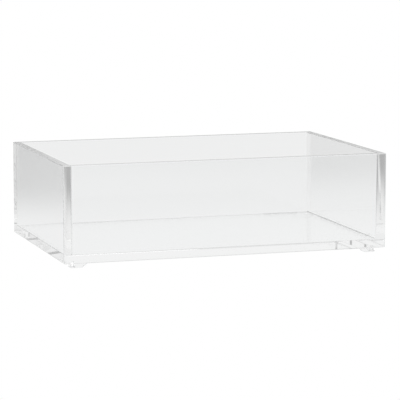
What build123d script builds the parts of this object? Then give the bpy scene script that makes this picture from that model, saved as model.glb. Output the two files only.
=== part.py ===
from build123d import *

from math import radians, tan
import os

# An open-topped tray of thick clear acrylic on four low feet, in millimetres.
# The origin is the middle of the footprint, at the bottom of the feet.
# +X is to the right along the width, -Y is the front and +Z is up.

# Walls and base
outer_width = 210.0
outer_depth = 135.0
wall_height = 55.0  # from the top of the base to the rim
wall_at_rim = 4.9
inside_draft = 0.4  # degrees, so each wall is a little thicker at the base
base_thickness = 5.0
outer_corner_radius = 2.0
inner_corner_radius = 0.8
rim_radius = 0.4
bottom_edge_radius = 0.6

# Feet, each an L of two legs that end in an S-curve
foot_height = 3.3
foot_flat = 6.4  # flat bearing length of each leg, from the corner
foot_leg_thickness = 3.0
foot_inner_radius = 0.8
ramp_angle = 38.0  # degrees, slope of the middle of the S-curve
ramp_radius = 3.0
tip_thickness = 0.2  # left at the thin end of a leg
tip_flat = 0.3
stacking_clearance = 0.25  # between a foot and the rim of the tray below

# Worked out from the sizes above
base_top = foot_height + base_thickness
rim_top = base_top + wall_height
wall_at_base = wall_at_rim + wall_height * tan(radians(inside_draft))
foot_inset = wall_at_rim + stacking_clearance
ramp_trim = ramp_radius * tan(radians(ramp_angle) / 2)
ramp_start = foot_flat + ramp_trim
ramp_end = ramp_start + (foot_height - tip_thickness) / tan(radians(ramp_angle))
leg_length = ramp_end + ramp_trim + tip_flat


# The outline of all four walls, with the tapered hollow and the rounded rim
def wall_ring():
    outline = RectangleRounded(outer_width, outer_depth, outer_corner_radius)
    ring = Pos(0, 0, base_top) * extrude(outline, amount=wall_height)
    hollow_width = outer_width - 2 * wall_at_base
    hollow_depth = outer_depth - 2 * wall_at_base
    floor_outline = RectangleRounded(hollow_width, hollow_depth, inner_corner_radius)
    ring -= Pos(0, 0, base_top) * extrude(floor_outline, amount=wall_height, taper=-inside_draft)
    rim_edges = ring.edges().group_by(Axis.Z)[-1]
    return fillet(rim_edges, rim_radius)


# The stretch of the ring that one wall takes, mitred at 45 degrees at both ends
def mitre_wedge(length, across):
    reach = 2 * wall_at_base
    corners = [
        (-length / 2, -across / 2),
        (length / 2, -across / 2),
        (length / 2 - reach, -across / 2 + reach),
        (-length / 2 + reach, -across / 2 + reach),
    ]
    outline = make_face(Polyline(*corners, close=True))
    return Pos(0, 0, base_top) * extrude(outline, amount=wall_height)


def front_panel():
    return wall_ring() & mitre_wedge(outer_width, outer_depth)


def back_panel():
    return wall_ring() & Rot(0, 0, 180) * mitre_wedge(outer_width, outer_depth)


def left_panel():
    return wall_ring() & Rot(0, 0, -90) * mitre_wedge(outer_depth, outer_width)


def right_panel():
    return wall_ring() & Rot(0, 0, 90) * mitre_wedge(outer_depth, outer_width)


# The plate that the walls stand on
def base_panel():
    outline = RectangleRounded(outer_width, outer_depth, outer_corner_radius)
    plate = Pos(0, 0, foot_height) * extrude(outline, amount=base_thickness)
    bottom_edges = plate.edges().group_by(Axis.Z)[0]
    return fillet(bottom_edges, bottom_edge_radius)


# Side view of one leg, flat on the ground and then up along the S-curve
def leg_outline():
    tip_bottom = foot_height - tip_thickness
    under = FilletPolyline(
        (0, 0),
        (ramp_start, 0),
        (ramp_end, tip_bottom),
        (leg_length, tip_bottom),
        radius=ramp_radius,
    )
    over = Polyline((leg_length, tip_bottom), (leg_length, foot_height), (0, foot_height), (0, 0))
    return make_face(under + over)


# A foot in its own place, with its outer corner on the Z axis
def corner_foot():
    leg_along_width = extrude(Plane.XZ * leg_outline(), amount=-foot_leg_thickness)
    leg_along_depth = extrude(Plane.YZ * leg_outline(), amount=foot_leg_thickness)
    foot = leg_along_width + leg_along_depth
    upright = foot.edges().filter_by(Axis.Z)
    outer_edge = upright.sort_by_distance((0, 0, 0))[0]
    foot = fillet(outer_edge, inner_corner_radius)
    inner_corner = (foot_leg_thickness, foot_leg_thickness, foot_height / 2)
    inner_edge = foot.edges().filter_by(Axis.Z).sort_by_distance(inner_corner)[0]
    return fillet(inner_edge, foot_inner_radius)


def foot_front_left():
    place = Pos(-outer_width / 2 + foot_inset, -outer_depth / 2 + foot_inset, 0)
    return place * corner_foot()


def foot_front_right():
    return mirror(foot_front_left(), about=Plane.YZ)


def foot_rear_left():
    return mirror(foot_front_left(), about=Plane.XZ)


def foot_rear_right():
    return mirror(foot_front_right(), about=Plane.XZ)


nodes = {
    "front_panel": front_panel,
    "back_panel": back_panel,
    "left_panel": left_panel,
    "right_panel": right_panel,
    "base_panel": base_panel,
    "foot_front_left": foot_front_left,
    "foot_front_right": foot_front_right,
    "foot_rear_left": foot_rear_left,
    "foot_rear_right": foot_rear_right,
}

os.makedirs("parts", exist_ok=True)
for name, make_node in nodes.items():
    solid = make_node()
    solid.label = name
    export_step(solid, f"parts/{name}.step")
print(f"{len(nodes)} nodes, {outer_width} x {outer_depth} x {rim_top} mm")
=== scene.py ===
from math import cos, pi, radians, sin, tan

import bmesh
import bpy
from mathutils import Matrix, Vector
from mathutils.geometry import delaunay_2d_cdt


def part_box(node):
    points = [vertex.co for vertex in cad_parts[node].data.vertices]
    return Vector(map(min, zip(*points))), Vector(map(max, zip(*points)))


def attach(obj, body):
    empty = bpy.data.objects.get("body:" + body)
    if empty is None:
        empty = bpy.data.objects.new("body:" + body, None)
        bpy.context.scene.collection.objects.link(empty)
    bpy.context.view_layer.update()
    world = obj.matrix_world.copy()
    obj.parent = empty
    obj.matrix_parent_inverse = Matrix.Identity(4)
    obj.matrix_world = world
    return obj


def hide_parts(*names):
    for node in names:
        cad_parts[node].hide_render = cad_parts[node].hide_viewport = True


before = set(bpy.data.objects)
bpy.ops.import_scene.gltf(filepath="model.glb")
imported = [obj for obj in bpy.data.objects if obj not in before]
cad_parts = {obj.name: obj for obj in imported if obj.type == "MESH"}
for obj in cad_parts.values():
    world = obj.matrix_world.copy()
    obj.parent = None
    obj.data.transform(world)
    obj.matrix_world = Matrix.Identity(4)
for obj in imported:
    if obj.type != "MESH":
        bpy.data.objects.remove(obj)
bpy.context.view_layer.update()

mm = 0.001
scene = bpy.context.scene


# Node helpers, for shader and geometry trees alike

class Wire:  # one output socket, on which sums and products add Math nodes
    def __init__(self, tree, socket):
        self.tree = tree
        self.socket = socket

    def math(self, operation, *others):
        values = dict(enumerate((self, *others)))
        return addNode(self.tree, "ShaderNodeMath", {"operation": operation}, values)

    def __add__(self, other):
        return self.math("ADD", other)

    def __sub__(self, other):
        return self.math("SUBTRACT", other)

    def __rsub__(self, other):
        return addNode(self.tree, "ShaderNodeMath", {"operation": "SUBTRACT"}, {0: other, 1: self})

    def __mul__(self, other):
        return self.math("MULTIPLY", other)

    def __truediv__(self, other):
        return self.math("DIVIDE", other)

    def __gt__(self, other):
        return self.math("GREATER_THAN", other)

    def __lt__(self, other):
        return self.math("LESS_THAN", other)

    __radd__ = __add__
    __rmul__ = __mul__

    def held(self, low, high):  # kept between two limits
        return self.math("MAXIMUM", low).math("MINIMUM", high)

    def out(self, name):  # another output of the same node
        return Wire(self.tree, self.socket.node.outputs[name])


def addNode(tree, kind, settings=None, values=None, output=0):
    node = tree.nodes.new(kind)
    for name, value in (settings or {}).items():
        if name == "stops":  # of a colour ramp, as (place, grey)
            for stop, (place, grey) in zip(rampStops(node, len(value)), value):
                stop.position = place
                stop.color = (grey, grey, grey, 1)
        else:
            setattr(node, name, value)
    for name, value in (values or {}).items():
        socket = node.inputs[name]
        if isinstance(value, Wire):
            tree.links.new(value.socket, socket)
        elif isinstance(value, list):
            for wire in value:
                tree.links.new(wire.socket, socket)
        else:
            socket.default_value = value
    live = [socket for socket in node.outputs if socket.enabled]
    return Wire(tree, node.outputs[output] if isinstance(output, str) else live[output]) if live else node


def rampStops(node, count):
    stops = node.color_ramp.elements
    while len(stops) < count:
        stops.new(1)
    return stops


def softStep(wire, low, high):  # 0 below low, 1 above high, smooth between
    values = {"Value": wire, "From Min": low, "From Max": high}
    return addNode(wire.tree, "ShaderNodeMapRange", {"interpolation_type": "SMOOTHSTEP"}, values)


def pick(condition, whenFalse, whenTrue, kind="FLOAT"):
    values = {"Switch": condition, "False": whenFalse, "True": whenTrue}
    return addNode(condition.tree, "GeometryNodeSwitch", {"input_type": kind}, values)


def joinVector(tree, x, y, z):
    return addNode(tree, "ShaderNodeCombineXYZ", None, {"X": x, "Y": y, "Z": z})


def splitVector(wire):
    parts = addNode(wire.tree, "ShaderNodeSeparateXYZ", None, {"Vector": wire})
    return parts, parts.out("Y"), parts.out("Z")


# Camera, at the photograph's angle

cameraPlace = {
    "turn": radians(18.03),  # to the right of straight ahead
    "tilt": radians(8.09),  # downwards
    "location": (-0.42315, -1.3093, 0.2247),
    "focalPixels": 2147.8,
    "pictureSize": 400,
}


def makeCamera():
    data = bpy.data.cameras.new("camera")
    data.sensor_width = 36
    data.lens = cameraPlace["focalPixels"] * data.sensor_width / cameraPlace["pictureSize"]
    camera = bpy.data.objects.new("camera", data)
    camera.location = cameraPlace["location"]
    camera.rotation_euler = (pi / 2 - cameraPlace["tilt"], 0, -cameraPlace["turn"])
    scene.collection.objects.link(camera)
    scene.camera = camera


makeCamera()
print("camera ready")


# Studio: the floor glows and the air lights; both are plain white to the camera, and what is seen straight
# through the acrylic is painted a little dimmer.
# What the acrylic mirrors of them is painted dimmer by the ray's path: a painted pool of light on the glowing
# floor round the tray, and walls that are bright ahead and behind and dim at the sides.

studio = {
    "shown": 1.0,  # floor and air past the tray
    "through": 0.9,  # the same, seen straight through the acrylic: painted a little dimmer
    "floorSize": 30.0,
    "floorNear": 0.85,  # painted pool of light on the mirrored floor round the tray, and the painted dimmer floor further out
    "floorFar": 0.45,
    "poolEdge": (0.15, 0.35),  # where one fades into the other, from the middle of the tray
    "walls": [  # tone by degrees from straight ahead
        (-180, 1.0), (-90, 0.4), (-45, 0.9), (45, 0.9), (90, 0.4), (180, 1.0),
    ],
    "wallsFrom": (0.11, 0.15),  # sine of the height where the light walls begin
    "underWalls": 0.4,
    "overhead": 0.8,
    "overheadFrom": (0.35, 0.65),  # sine of the height where the walls end and the overhead panel begins
    "lampPower": 1.0,
    "lampSize": (0.9, 0.6),
    "lampPlace": (0.0, 0.2, 1.4),
    "bounces": 96,  # light runs far along inside a clear plate
}


def straightness(tree):  # 1 for a ray that met no reflection on its way, else 0
    lightPath = addNode(tree, "ShaderNodeLightPath", None, None, "Glossy Depth")
    return lightPath < 0.5, lightPath.out("Is Camera Ray")


def blend(low, high, share):
    return low + (high - low) * share


def fromCamera(east, north):
    turn = cameraPlace["turn"]
    return east * cos(turn) - north * sin(turn), east * sin(turn) + north * cos(turn)


def makeFloor():
    half = studio["floorSize"] / 2
    mesh = bpy.data.meshes.new("floor")
    corners = [(-half, -half, 0), (half, -half, 0), (half, half, 0), (-half, half, 0)]
    mesh.from_pydata(corners, [], [(0, 1, 2, 3)])
    floor = bpy.data.objects.new("floor", mesh)
    scene.collection.objects.link(floor)
    material = bpy.data.materials.new("glowingFloor")
    material.use_nodes = True
    tree = material.node_tree
    tree.nodes.clear()
    place = addNode(tree, "ShaderNodeNewGeometry", None, None, "Position")
    distance = addNode(tree, "ShaderNodeVectorMath", {"operation": "LENGTH"}, {0: place}, "Value")
    # painted pool of light in the floor's glow, seen only in what the acrylic mirrors
    lit = blend(studio["floorNear"], studio["floorFar"], softStep(distance, *studio["poolEdge"]))
    straight, seen = straightness(tree)
    brightness = blend(blend(lit, studio["through"], straight), studio["shown"], seen)
    # the floor glows: painted light from a surface that is no lamp
    glow = addNode(tree, "ShaderNodeEmission", None, {"Strength": brightness})
    addNode(tree, "ShaderNodeOutputMaterial", None, {"Surface": glow})
    mesh.materials.append(material)


def makeAir():
    world = bpy.data.worlds.new("studio")
    scene.world = world
    world.use_nodes = True
    tree = world.node_tree
    tree.nodes.clear()
    east, north, up = splitVector(addNode(tree, "ShaderNodeTexCoord", None, None, "Generated"))
    across, along = fromCamera(east, north)
    heading = across.math("ARCTAN2", along) / (2 * pi) + 0.5
    stops = [(degrees / 360 + 0.5, tone) for degrees, tone in studio["walls"]]
    walls = addNode(tree, "ShaderNodeValToRGB", {"stops": stops}, {"Fac": heading})
    walls = blend(studio["underWalls"], walls, softStep(up, *studio["wallsFrom"]))
    reflected = blend(walls, studio["overhead"], softStep(up, *studio["overheadFrom"]))
    straight, seen = straightness(tree)
    # the air's tone by the ray's path: white to the camera, painted a little dimmer straight through the
    # acrylic, and the mirrored walls otherwise
    brightness = blend(blend(reflected, studio["through"], straight), studio["shown"], seen)
    values = {"Color": (1, 1, 1, 1), "Strength": brightness}
    background = addNode(tree, "ShaderNodeBackground", None, values)
    addNode(tree, "ShaderNodeOutputWorld", None, {"Surface": background})


def makeLamp():  # a soft panel overhead
    data = bpy.data.lights.new("softPanel", "AREA")
    data.shape = "RECTANGLE"
    data.size, data.size_y = studio["lampSize"]
    data.energy = studio["lampPower"]
    lamp = bpy.data.objects.new("softPanel", data)
    lamp.location = studio["lampPlace"]
    scene.collection.objects.link(lamp)


makeFloor()
makeAir()
makeLamp()
scene.view_settings.view_transform = "Standard"
for limit in ("max_bounces", "transmission_bounces", "glossy_bounces", "transparent_max_bounces"):
    setattr(scene.cycles, limit, studio["bounces"])
print("studio ready")


# Materials

acrylic = {
    "tint": (0.992, 0.996, 0.996, 1),
    "ior": 1.49,
    "wave": 18.0,  # polishing waves per metre
    "waveHeight": 0.000004,
    "haze": (0.0, 0.012),  # least and most roughness
    "hazeScale": 60.0,
}


def newMaterial(name):
    material = bpy.data.materials.new(name)
    material.use_nodes = True
    material.node_tree.nodes.clear()
    return material, material.node_tree


def makeAcrylic():
    material, tree = newMaterial("clearAcrylic")
    place = addNode(tree, "ShaderNodeTexCoord", None, None, "Object")
    values = {"Vector": place, "Scale": acrylic["hazeScale"], "Detail": 3}
    haze = addNode(tree, "ShaderNodeTexNoise", None, values)
    least, most = acrylic["haze"]
    rough = blend(least, most, softStep(haze, 0.4, 0.7))
    values = {"Vector": place, "Scale": acrylic["wave"], "Detail": 1}
    waves = addNode(tree, "ShaderNodeTexNoise", None, values)
    bump = addNode(tree, "ShaderNodeBump", None, {"Height": waves, "Distance": acrylic["waveHeight"]})
    shader = addNode(tree, "ShaderNodeBsdfPrincipled", None, {
        "Base Color": acrylic["tint"],
        "Roughness": rough,
        "IOR": acrylic["ior"],
        "Transmission Weight": 1.0,
        "Normal": bump,
    })
    addNode(tree, "ShaderNodeOutputMaterial", None, {"Surface": shader})
    return material


def makeSeam():  # a solvent-bonded face, which light crosses as if it weren't there
    material, tree = newMaterial("bondedSeam")
    shader = addNode(tree, "ShaderNodeBsdfPrincipled", None, {"Base Color": acrylic["tint"], "Alpha": 0.0})
    addNode(tree, "ShaderNodeOutputMaterial", None, {"Surface": shader})
    return material


clearAcrylic = makeAcrylic()
bondedSeam = makeSeam()
print("materials ready")


# Shared sizes, from the frame and from the maker's drawing

baseLow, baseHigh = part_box("base_panel")
plate = {
    "halfWidth": baseHigh.x,
    "halfDepth": baseHigh.y,
    "bottom": baseLow.z,
    "top": baseHigh.z,
    "rim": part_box("front_panel")[1].z,
    "outerCorner": 2.0 * mm,
    "innerCorner": 0.8 * mm,
    "bottomEdge": 0.6 * mm,
    "cove": 0.6 * mm,  # of cured cement between wall and floor
    "arcSteps": 6,  # per half corner
}
wall = {
    "atRim": 4.9 * mm,
    "draft": radians(0.4),
    "rimEdge": 0.4 * mm,
    "edgeSteps": 5,
}
wall["atBase"] = wall["atRim"] + (plate["rim"] - plate["top"]) * tan(wall["draft"])
shading = {
    "sharpFrom": radians(35),  # edges that bend more than this stay sharp
    "level": 0.99,  # of a normal, for faces that lie flat
    "mitre": 0.45,  # of a normal's x times y, for faces at 45 degrees
}


def geometryTree(name, sizes):  # an empty tree with a named input for each size
    tree = bpy.data.node_groups.new(name, "GeometryNodeTree")
    for size, kind in sizes.items():
        tree.interface.new_socket(size, in_out="INPUT", socket_type="NodeSocket" + kind)
    tree.interface.new_socket("Geometry", in_out="OUTPUT", socket_type="NodeSocketGeometry")
    source = tree.nodes.new("NodeGroupInput")
    return tree, {size: Wire(tree, source.outputs[size]) for size in sizes}


def polyline(tree, count):  # a curve of that many points, and its index
    line = addNode(tree, "GeometryNodeMeshLine", None, {"Count": count})
    curve = addNode(tree, "GeometryNodeMeshToCurve", None, {"Mesh": line})
    return curve, addNode(tree, "GeometryNodeInputIndex")


def keep(geometry, value, domain="POINT"):  # holds a value on each point, for later nodes
    node = geometry.tree.nodes.new("GeometryNodeCaptureAttribute")
    node.capture_items.new("FLOAT", "held")
    node.domain = domain
    geometry.tree.links.new(geometry.socket, node.inputs["Geometry"])
    geometry.tree.links.new(value.socket, node.inputs["held"])
    return Wire(geometry.tree, node.outputs["Geometry"]), Wire(geometry.tree, node.outputs["held"])


def paint(geometry, material, faces=True):
    values = {"Geometry": geometry, "Material": material, "Selection": faces}
    return addNode(geometry.tree, "GeometryNodeSetMaterial", None, values)


def finishTree(geometry, seamFaces, seam):  # sharp edges, real faces and the seams' own material
    tree = geometry.tree
    angle = addNode(tree, "GeometryNodeInputMeshEdgeAngle")
    values = {"Geometry": geometry, "Selection": angle > shading["sharpFrom"], "Shade Smooth": False}
    geometry = addNode(tree, "GeometryNodeSetShadeSmooth", {"domain": "EDGE"}, values)
    geometry = addNode(tree, "GeometryNodeRealizeInstances", None, {"Geometry": geometry})
    addNode(tree, "NodeGroupOutput", None, {"Geometry": paint(geometry, seam, seamFaces)})


def seamBy(tree, facing):  # selects faces by a test on their normal
    normal = addNode(tree, "GeometryNodeInputNormal")
    return facing(*splitVector(normal))


# Walls: one tree for a panel mitred at both ends, used four times

def wallTree():
    tree, size = geometryTree("mitredWall", {
        "Length": "Float", "Across": "Float", "Turn": "Float", "Bottom": "Float", "Top": "Float",
        "At Rim": "Float", "At Base": "Float", "Rim Edge": "Float", "Cove": "Float",
        "Outer Corner": "Float", "Inner Corner": "Float", "Arc Steps": "Int", "Edge Steps": "Int",
        "Clear": "Material", "Seam": "Material",
    })
    steps = size["Edge Steps"]
    quarter = pi / 2
    # the section, as a closed curve: one square corner, two rim edges and the cove
    section, index = polyline(tree, steps * 3 + 4)
    first = ((index - 1) / steps).held(0, 1) * quarter
    second = ((index - 2 - steps) / steps).held(0, 1) * quarter
    third = ((index - 3 - steps * 2) / steps).held(0, 1) * quarter
    edge, cove = size["Rim Edge"], size["Cove"]
    onSecond = index > steps + 1.5
    onThird = index > steps * 2 + 2.5
    outerIn = edge - edge * first.math("COSINE")
    outerUp = size["Top"] - edge + edge * first.math("SINE")
    innerIn = size["At Rim"] - edge + edge * second.math("SINE")
    innerUp = size["Top"] - edge + edge * second.math("COSINE")
    coveIn = size["At Base"] + cove - cove * third.math("COSINE")
    coveUp = size["Bottom"] + cove - cove * third.math("SINE")
    inward = pick(onThird, pick(onSecond, outerIn, innerIn), coveIn)
    upward = pick(onThird, pick(onSecond, outerUp, innerUp), coveUp)
    upward = pick(index < 0.5, upward, size["Bottom"])
    inward = pick(index < 0.5, inward, 0.0)
    outerRadius = size["Outer Corner"] - inward
    innerRadius = size["Inner Corner"] + size["At Base"] - inward
    radius = pick(onSecond, outerRadius, innerRadius)
    section, inward = keep(section, inward)
    section, upward = keep(section, upward)
    section, radius = keep(section, radius)
    section = addNode(tree, "GeometryNodeSetSplineCyclic", None, {"Geometry": section, "Cyclic": True})
    ring = joinVector(tree, inward, upward, 0.0)
    section = addNode(tree, "GeometryNodeSetPosition", None, {"Geometry": section, "Position": ring})
    # the run of the wall: half a corner, a straight stretch and half a corner
    half = size["Arc Steps"]
    run, index = polyline(tree, half * 2 + 2)
    onLeft = index > half + 0.5
    side = 1 - onLeft * 2
    stepsOut = pick(onLeft, half - index, index - half - 1)
    run, angle = keep(run, stepsOut / half * (pi / 4))
    run, side = keep(run, side)
    panel = addNode(tree, "GeometryNodeCurveToMesh", None, {
        "Curve": run, "Profile Curve": section, "Fill Caps": True})
    along = side * (size["Length"] / 2 - inward - radius + radius * angle.math("SINE"))
    across = inward + radius - radius * angle.math("COSINE") - size["Across"]
    panel = addNode(tree, "GeometryNodeSetPosition", None, {
        "Geometry": panel, "Position": joinVector(tree, along, across, upward)})
    panel = addNode(tree, "GeometryNodeMergeByDistance", None, {"Geometry": panel, "Distance": 1e-7})
    # the mitred ends and the foot of the wall are seams
    here = addNode(tree, "GeometryNodeInputPosition")
    toRight = splitVector(here)[0].math("SIGN")
    mitre, level = shading["mitre"], shading["level"]
    seams = seamBy(tree, lambda x, y, z: (x * y * toRight > mitre).math("MAXIMUM", z < -level))
    panel, seams = keep(panel, seams, "FACE")
    panel = addNode(tree, "GeometryNodeTransform", None, {
        "Geometry": panel, "Rotation": joinVector(tree, 0.0, 0.0, size["Turn"])})
    finishTree(paint(panel, size["Clear"]), seams > 0.5, size["Seam"])
    return tree


def runTree(tree, name, sizes, node):  # a plain mesh piece made by the tree, in place of a CAD node
    base = bpy.data.objects.new(name + "Source", bpy.data.meshes.new(name + "Source"))
    scene.collection.objects.link(base)
    modifier = base.modifiers.new("shape", "NODES")
    modifier.node_group = tree
    for item in tree.interface.items_tree:
        if item.in_out == "INPUT":
            modifier[item.identifier] = sizes[item.name]
    return placePiece(name, bakeFlatFaces(base), node)


def bakeFlatFaces(source):  # the finished mesh, with flat faces shaded flat between rounded edges
    weights = source.modifiers.new("flatFaces", "WEIGHTED_NORMAL")
    weights.keep_sharp = True
    evaluated = source.evaluated_get(bpy.context.evaluated_depsgraph_get())
    mesh = bpy.data.meshes.new_from_object(evaluated)
    bpy.data.objects.remove(source)
    return mesh


def placePiece(name, mesh, node):
    mesh.name = name
    piece = bpy.data.objects.new(name, mesh)
    scene.collection.objects.link(piece)
    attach(piece, "root")
    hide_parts(node)
    return piece


def makeWalls():
    tree = wallTree()
    width, depth = plate["halfWidth"] * 2, plate["halfDepth"] * 2
    shared = {
        "Bottom": plate["top"], "Top": plate["rim"], "At Rim": wall["atRim"], "At Base": wall["atBase"],
        "Rim Edge": wall["rimEdge"], "Cove": plate["cove"], "Outer Corner": plate["outerCorner"],
        "Inner Corner": plate["innerCorner"], "Arc Steps": plate["arcSteps"], "Edge Steps": wall["edgeSteps"],
        "Clear": clearAcrylic, "Seam": bondedSeam,
    }
    for name, length, across, turn in (
        ("front", width, depth / 2, 0.0),
        ("right", depth, width / 2, pi / 2),
        ("back", width, depth / 2, pi),
        ("left", depth, width / 2, -pi / 2),
    ):
        sizes = shared | {"Length": length, "Across": across, "Turn": turn}
        runTree(tree, name + "Wall", sizes, name + "_panel")


makeWalls()
print("walls ready")


# Feet: one tree for half an L with an S-curved end, mirrored about its diagonal, used four times

foot = {
    "flat": 6.4 * mm,
    "legThickness": 3.0 * mm,
    "innerCorner": 0.8 * mm,
    "rampAngle": radians(38),
    "rampRadius": 3.0 * mm,
    "tip": 0.2 * mm,
    "underEdge": 0.25 * mm,
    "rampSteps": 24,
}


def footTree():
    tree, size = geometryTree("cornerFoot", {
        "Length": "Float", "Flat": "Float", "Height": "Float", "Thickness": "Float", "Tip": "Float",
        "Ramp Angle": "Float", "Ramp Radius": "Float", "Under Edge": "Float",
        "Outer Corner": "Float", "Inner Corner": "Float", "Ramp Steps": "Int", "Arc Steps": "Int",
        "Edge Steps": "Int", "Place": "Vector", "Clear": "Material", "Seam": "Material",
    })
    steps = size["Edge Steps"]
    quarter = pi / 2
    # the section: a bar with two softened lower edges
    section, index = polyline(tree, steps * 2 + 4)
    first = ((index - 1) / steps).held(0, 1) * quarter
    second = ((index - 2 - steps) / steps).held(0, 1) * quarter
    edge, thick = size["Under Edge"], size["Thickness"]
    onSecond = index > steps + 1.5
    inward = pick(onSecond, edge - edge * first.math("COSINE"), thick - edge + edge * second.math("SINE"))
    drop = pick(onSecond, edge - edge * first.math("SINE"), edge - edge * second.math("COSINE"))
    height = size["Height"]
    atTop = (index < 0.5).math("MAXIMUM", index > steps * 2 + 2.5)
    drop = pick(atTop, drop, height)
    radius = blend(size["Outer Corner"], size["Inner Corner"], inward / thick)
    section, inward = keep(section, inward)
    section, share = keep(section, drop / height)
    section, radius = keep(section, radius)
    section = addNode(tree, "GeometryNodeSetSplineCyclic", None, {"Geometry": section, "Cyclic": True})
    section = addNode(tree, "GeometryNodeSetPosition", None, {
        "Geometry": section, "Position": joinVector(tree, inward, share * height, 0.0)})
    # the run: from the tip down the S-curve, along the flat and round half the corner
    ramp, half = size["Ramp Steps"], size["Arc Steps"]
    run, index = polyline(tree, ramp + half + 2)
    distance = size["Length"] - (index / ramp).held(0, 1) * (size["Length"] - size["Flat"])
    turnAngle = ((index - ramp - 1) / half).held(0, 1) * (pi / 4)
    bend = size["Ramp Radius"]
    slope = size["Ramp Angle"]
    reach = bend * slope.math("SINE")
    past = distance - size["Flat"]
    rise = height - size["Tip"]
    middleRise = rise - bend * (1 - slope.math("COSINE")) * 2
    middleRun = middleRise / slope.math("TANGENT")
    lowPart = past.math("MAXIMUM", 0.0).math("MINIMUM", reach)
    lowRise = bend - (bend * bend - lowPart * lowPart).math("SQRT")
    middlePart = (past - reach).math("MAXIMUM", 0.0).math("MINIMUM", middleRun)
    highPart = (past - reach - middleRun).math("MAXIMUM", 0.0).math("MINIMUM", reach)
    left = reach - highPart
    highRise = (bend * bend - left * left).math("SQRT") - bend * slope.math("COSINE")
    lift = lowRise + middlePart * slope.math("TANGENT") + highRise
    run, distance = keep(run, distance)
    run, turnAngle = keep(run, turnAngle)
    run, lift = keep(run, lift)
    run, inCorner = keep(run, index > ramp + 0.5)
    leg = addNode(tree, "GeometryNodeCurveToMesh", None, {
        "Curve": run, "Profile Curve": section, "Fill Caps": True})
    along = pick(inCorner > 0.5, distance, inward + radius - radius * turnAngle.math("SINE"))
    across = inward + radius - radius * turnAngle.math("COSINE")
    upward = lift + (height - lift) * share
    leg = addNode(tree, "GeometryNodeSetPosition", None, {
        "Geometry": leg, "Position": joinVector(tree, along, across, upward)})
    middle = seamBy(tree, lambda x, y, z: x * y < -shading["mitre"])
    values = {"Geometry": leg, "Selection": middle}
    leg = addNode(tree, "GeometryNodeDeleteGeometry", {"domain": "FACE"}, values)
    leg = paint(leg, size["Clear"])
    here = addNode(tree, "GeometryNodeInputPosition")
    east, north, up = splitVector(here)
    other = addNode(tree, "GeometryNodeSetPosition", None, {
        "Geometry": leg, "Position": joinVector(tree, north, east, up)})
    leg = addNode(tree, "GeometryNodeFlipFaces", None, {"Mesh": leg})
    whole = addNode(tree, "GeometryNodeJoinGeometry", None, {"Geometry": [leg, other]})
    whole = addNode(tree, "GeometryNodeMergeByDistance", None, {"Geometry": whole, "Distance": 1e-6})
    seams = seamBy(tree, lambda x, y, z: z > shading["level"])
    whole, seams = keep(whole, seams, "FACE")
    # placed, and mirrored to its own corner
    right, back, lower = splitVector(size["Place"])
    fromRight = right + east * right.math("SIGN") * -1
    fromBack = back + north * back.math("SIGN") * -1
    placed = joinVector(tree, fromRight, fromBack, up)
    whole = addNode(tree, "GeometryNodeSetPosition", None, {"Geometry": whole, "Position": placed})
    flipped = addNode(tree, "GeometryNodeFlipFaces", None, {
        "Mesh": whole, "Selection": right * back < 0.0})
    finishTree(flipped, seams > 0.5, size["Seam"])
    return tree


def makeFeet():
    tree = footTree()
    for node in ("foot_front_left", "foot_front_right", "foot_rear_left", "foot_rear_right"):
        low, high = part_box(node)
        outer = [high[axis] if high[axis] > 0 else low[axis] for axis in (0, 1)]
        sizes = {
            "Length": high.x - low.x, "Flat": foot["flat"], "Height": high.z,
            "Thickness": foot["legThickness"], "Tip": foot["tip"],
            "Ramp Angle": foot["rampAngle"], "Ramp Radius": foot["rampRadius"],
            "Under Edge": foot["underEdge"], "Outer Corner": plate["innerCorner"],
            "Inner Corner": foot["innerCorner"], "Ramp Steps": foot["rampSteps"],
            "Arc Steps": plate["arcSteps"], "Edge Steps": wall["edgeSteps"],
            "Place": (*outer, 0.0), "Clear": clearAcrylic, "Seam": bondedSeam,
        }
        words = node.split("_")
        runTree(tree, "foot" + words[1].title() + words[2].title(), sizes, node)


makeFeet()
print("feet ready")


# Base plate, with a seam patch for each wall and foot

def roundedLoop(inset, radius, height):  # a rounded rectangle inside the plate's outline
    halfSteps = plate["arcSteps"]
    loop = []
    for quarterTurn in range(4):
        signX, signY = ((-1, -1), (1, -1), (1, 1), (-1, 1))[quarterTurn]
        centre = Vector((
            signX * (plate["halfWidth"] - inset - radius),
            signY * (plate["halfDepth"] - inset - radius),
        ))
        start = pi + quarterTurn * pi / 2
        for step in range(halfSteps * 2 + 1):
            angle = start + step * pi / 4 / halfSteps
            loop.append((centre.x + radius * cos(angle), centre.y + radius * sin(angle), height))
    return loop


def footOutline(node):  # the top of a foot, as its tree makes it
    low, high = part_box(node)
    length = high.x - low.x
    halfSteps = plate["arcSteps"]
    thick = foot["legThickness"]
    angles = [step * pi / 4 / halfSteps for step in range(halfSteps * 2 + 1)]

    def corner(inward, radius):
        return [(inward + radius - radius * sin(a), inward + radius - radius * cos(a)) for a in angles]

    outer = [(length, 0), *corner(0, plate["innerCorner"]), (0, length)]
    inner = [(thick, length), *reversed(corner(thick, foot["innerCorner"])), (length, thick)]
    placed = []
    for x, y in outer + inner:
        placed.append((high.x - x if high.x > 0 else low.x + x, high.y - y if high.y > 0 else low.y + y))
    return placed


def insideLoop(point, loop):  # by the even-odd rule
    inside = False
    for (x0, y0), (x1, y1) in zip(loop, loop[1:] + loop[:1]):
        if (y0 > point[1]) != (y1 > point[1]):
            inside ^= point[0] < x0 + (point[1] - y0) / (y1 - y0) * (x1 - x0)
    return inside


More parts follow.
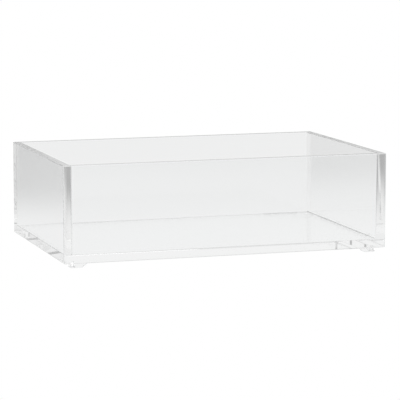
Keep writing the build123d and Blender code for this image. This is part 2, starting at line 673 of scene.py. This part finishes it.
def makeBase():
    mesh = bpy.data.meshes.new("basePlate")
    shape = bmesh.new()

    def ring(inset, radius, height):
        return [shape.verts.new(point) for point in roundedLoop(inset, radius, height)]

    def bridge(lower, upper, slot):
        for index, vertex in enumerate(lower):
            nextIndex = (index + 1) % len(lower)
            face = shape.faces.new((vertex, lower[nextIndex], upper[nextIndex], upper[index]))
            face.material_index = slot

    clearSlot, seamSlot = 0, 1
    edge, corner = plate["bottomEdge"], plate["outerCorner"]
    rings = []
    for step in range(wall["edgeSteps"] + 1):
        angle = step / wall["edgeSteps"] * pi / 2
        inset = edge * (1 - sin(angle))
        rings.append(ring(inset, corner - inset, plate["bottom"] + edge * (1 - cos(angle))))
    rings.append(ring(0, corner, plate["top"]))
    for lower, upper in zip(rings, rings[1:]):
        bridge(lower, upper, clearSlot)
    floorInset = wall["atBase"] + plate["cove"]
    floorLoop = ring(floorInset, plate["innerCorner"] - plate["cove"], plate["top"])
    bridge(rings[-1], floorLoop, seamSlot)
    shape.faces.new(floorLoop).material_index = clearSlot
    # the underside, cut along the outlines of the feet
    outlines = [footOutline(node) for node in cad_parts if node.startswith("foot")]
    outer = [(vertex.co.x, vertex.co.y) for vertex in rings[0]]
    points, edges = [], []
    for loop in (outer, *outlines):
        first = len(points)
        points += [Vector(point) for point in loop]
        edges += [(first + i, first + (i + 1) % len(loop)) for i in range(len(loop))]
    flat, _, triangles, originals, _, _ = delaunay_2d_cdt(points, edges, [], 0, 1e-8)
    corners = []
    for point, source in zip(flat, originals):
        onRing = source and source[0] < len(outer)
        corners.append(rings[0][source[0]] if onRing else shape.verts.new((*point, plate["bottom"])))
    for triangle in triangles:
        middle = sum((flat[i] for i in triangle), Vector((0, 0))) / len(triangle)
        face = shape.faces.new([corners[i] for i in reversed(triangle)])
        face.material_index = seamSlot if any(insideLoop(middle, loop) for loop in outlines) else clearSlot
    bmesh.ops.recalc_face_normals(shape, faces=shape.faces)
    shape.to_mesh(mesh)
    shape.free()
    mesh.shade_smooth()
    mesh.set_sharp_from_angle(angle=shading["sharpFrom"])
    mesh.materials.append(clearAcrylic)
    mesh.materials.append(bondedSeam)
    source = bpy.data.objects.new("basePlateSource", mesh)
    scene.collection.objects.link(source)
    placePiece("basePlate", bakeFlatFaces(source), "base_panel")


makeBase()
print("base ready")
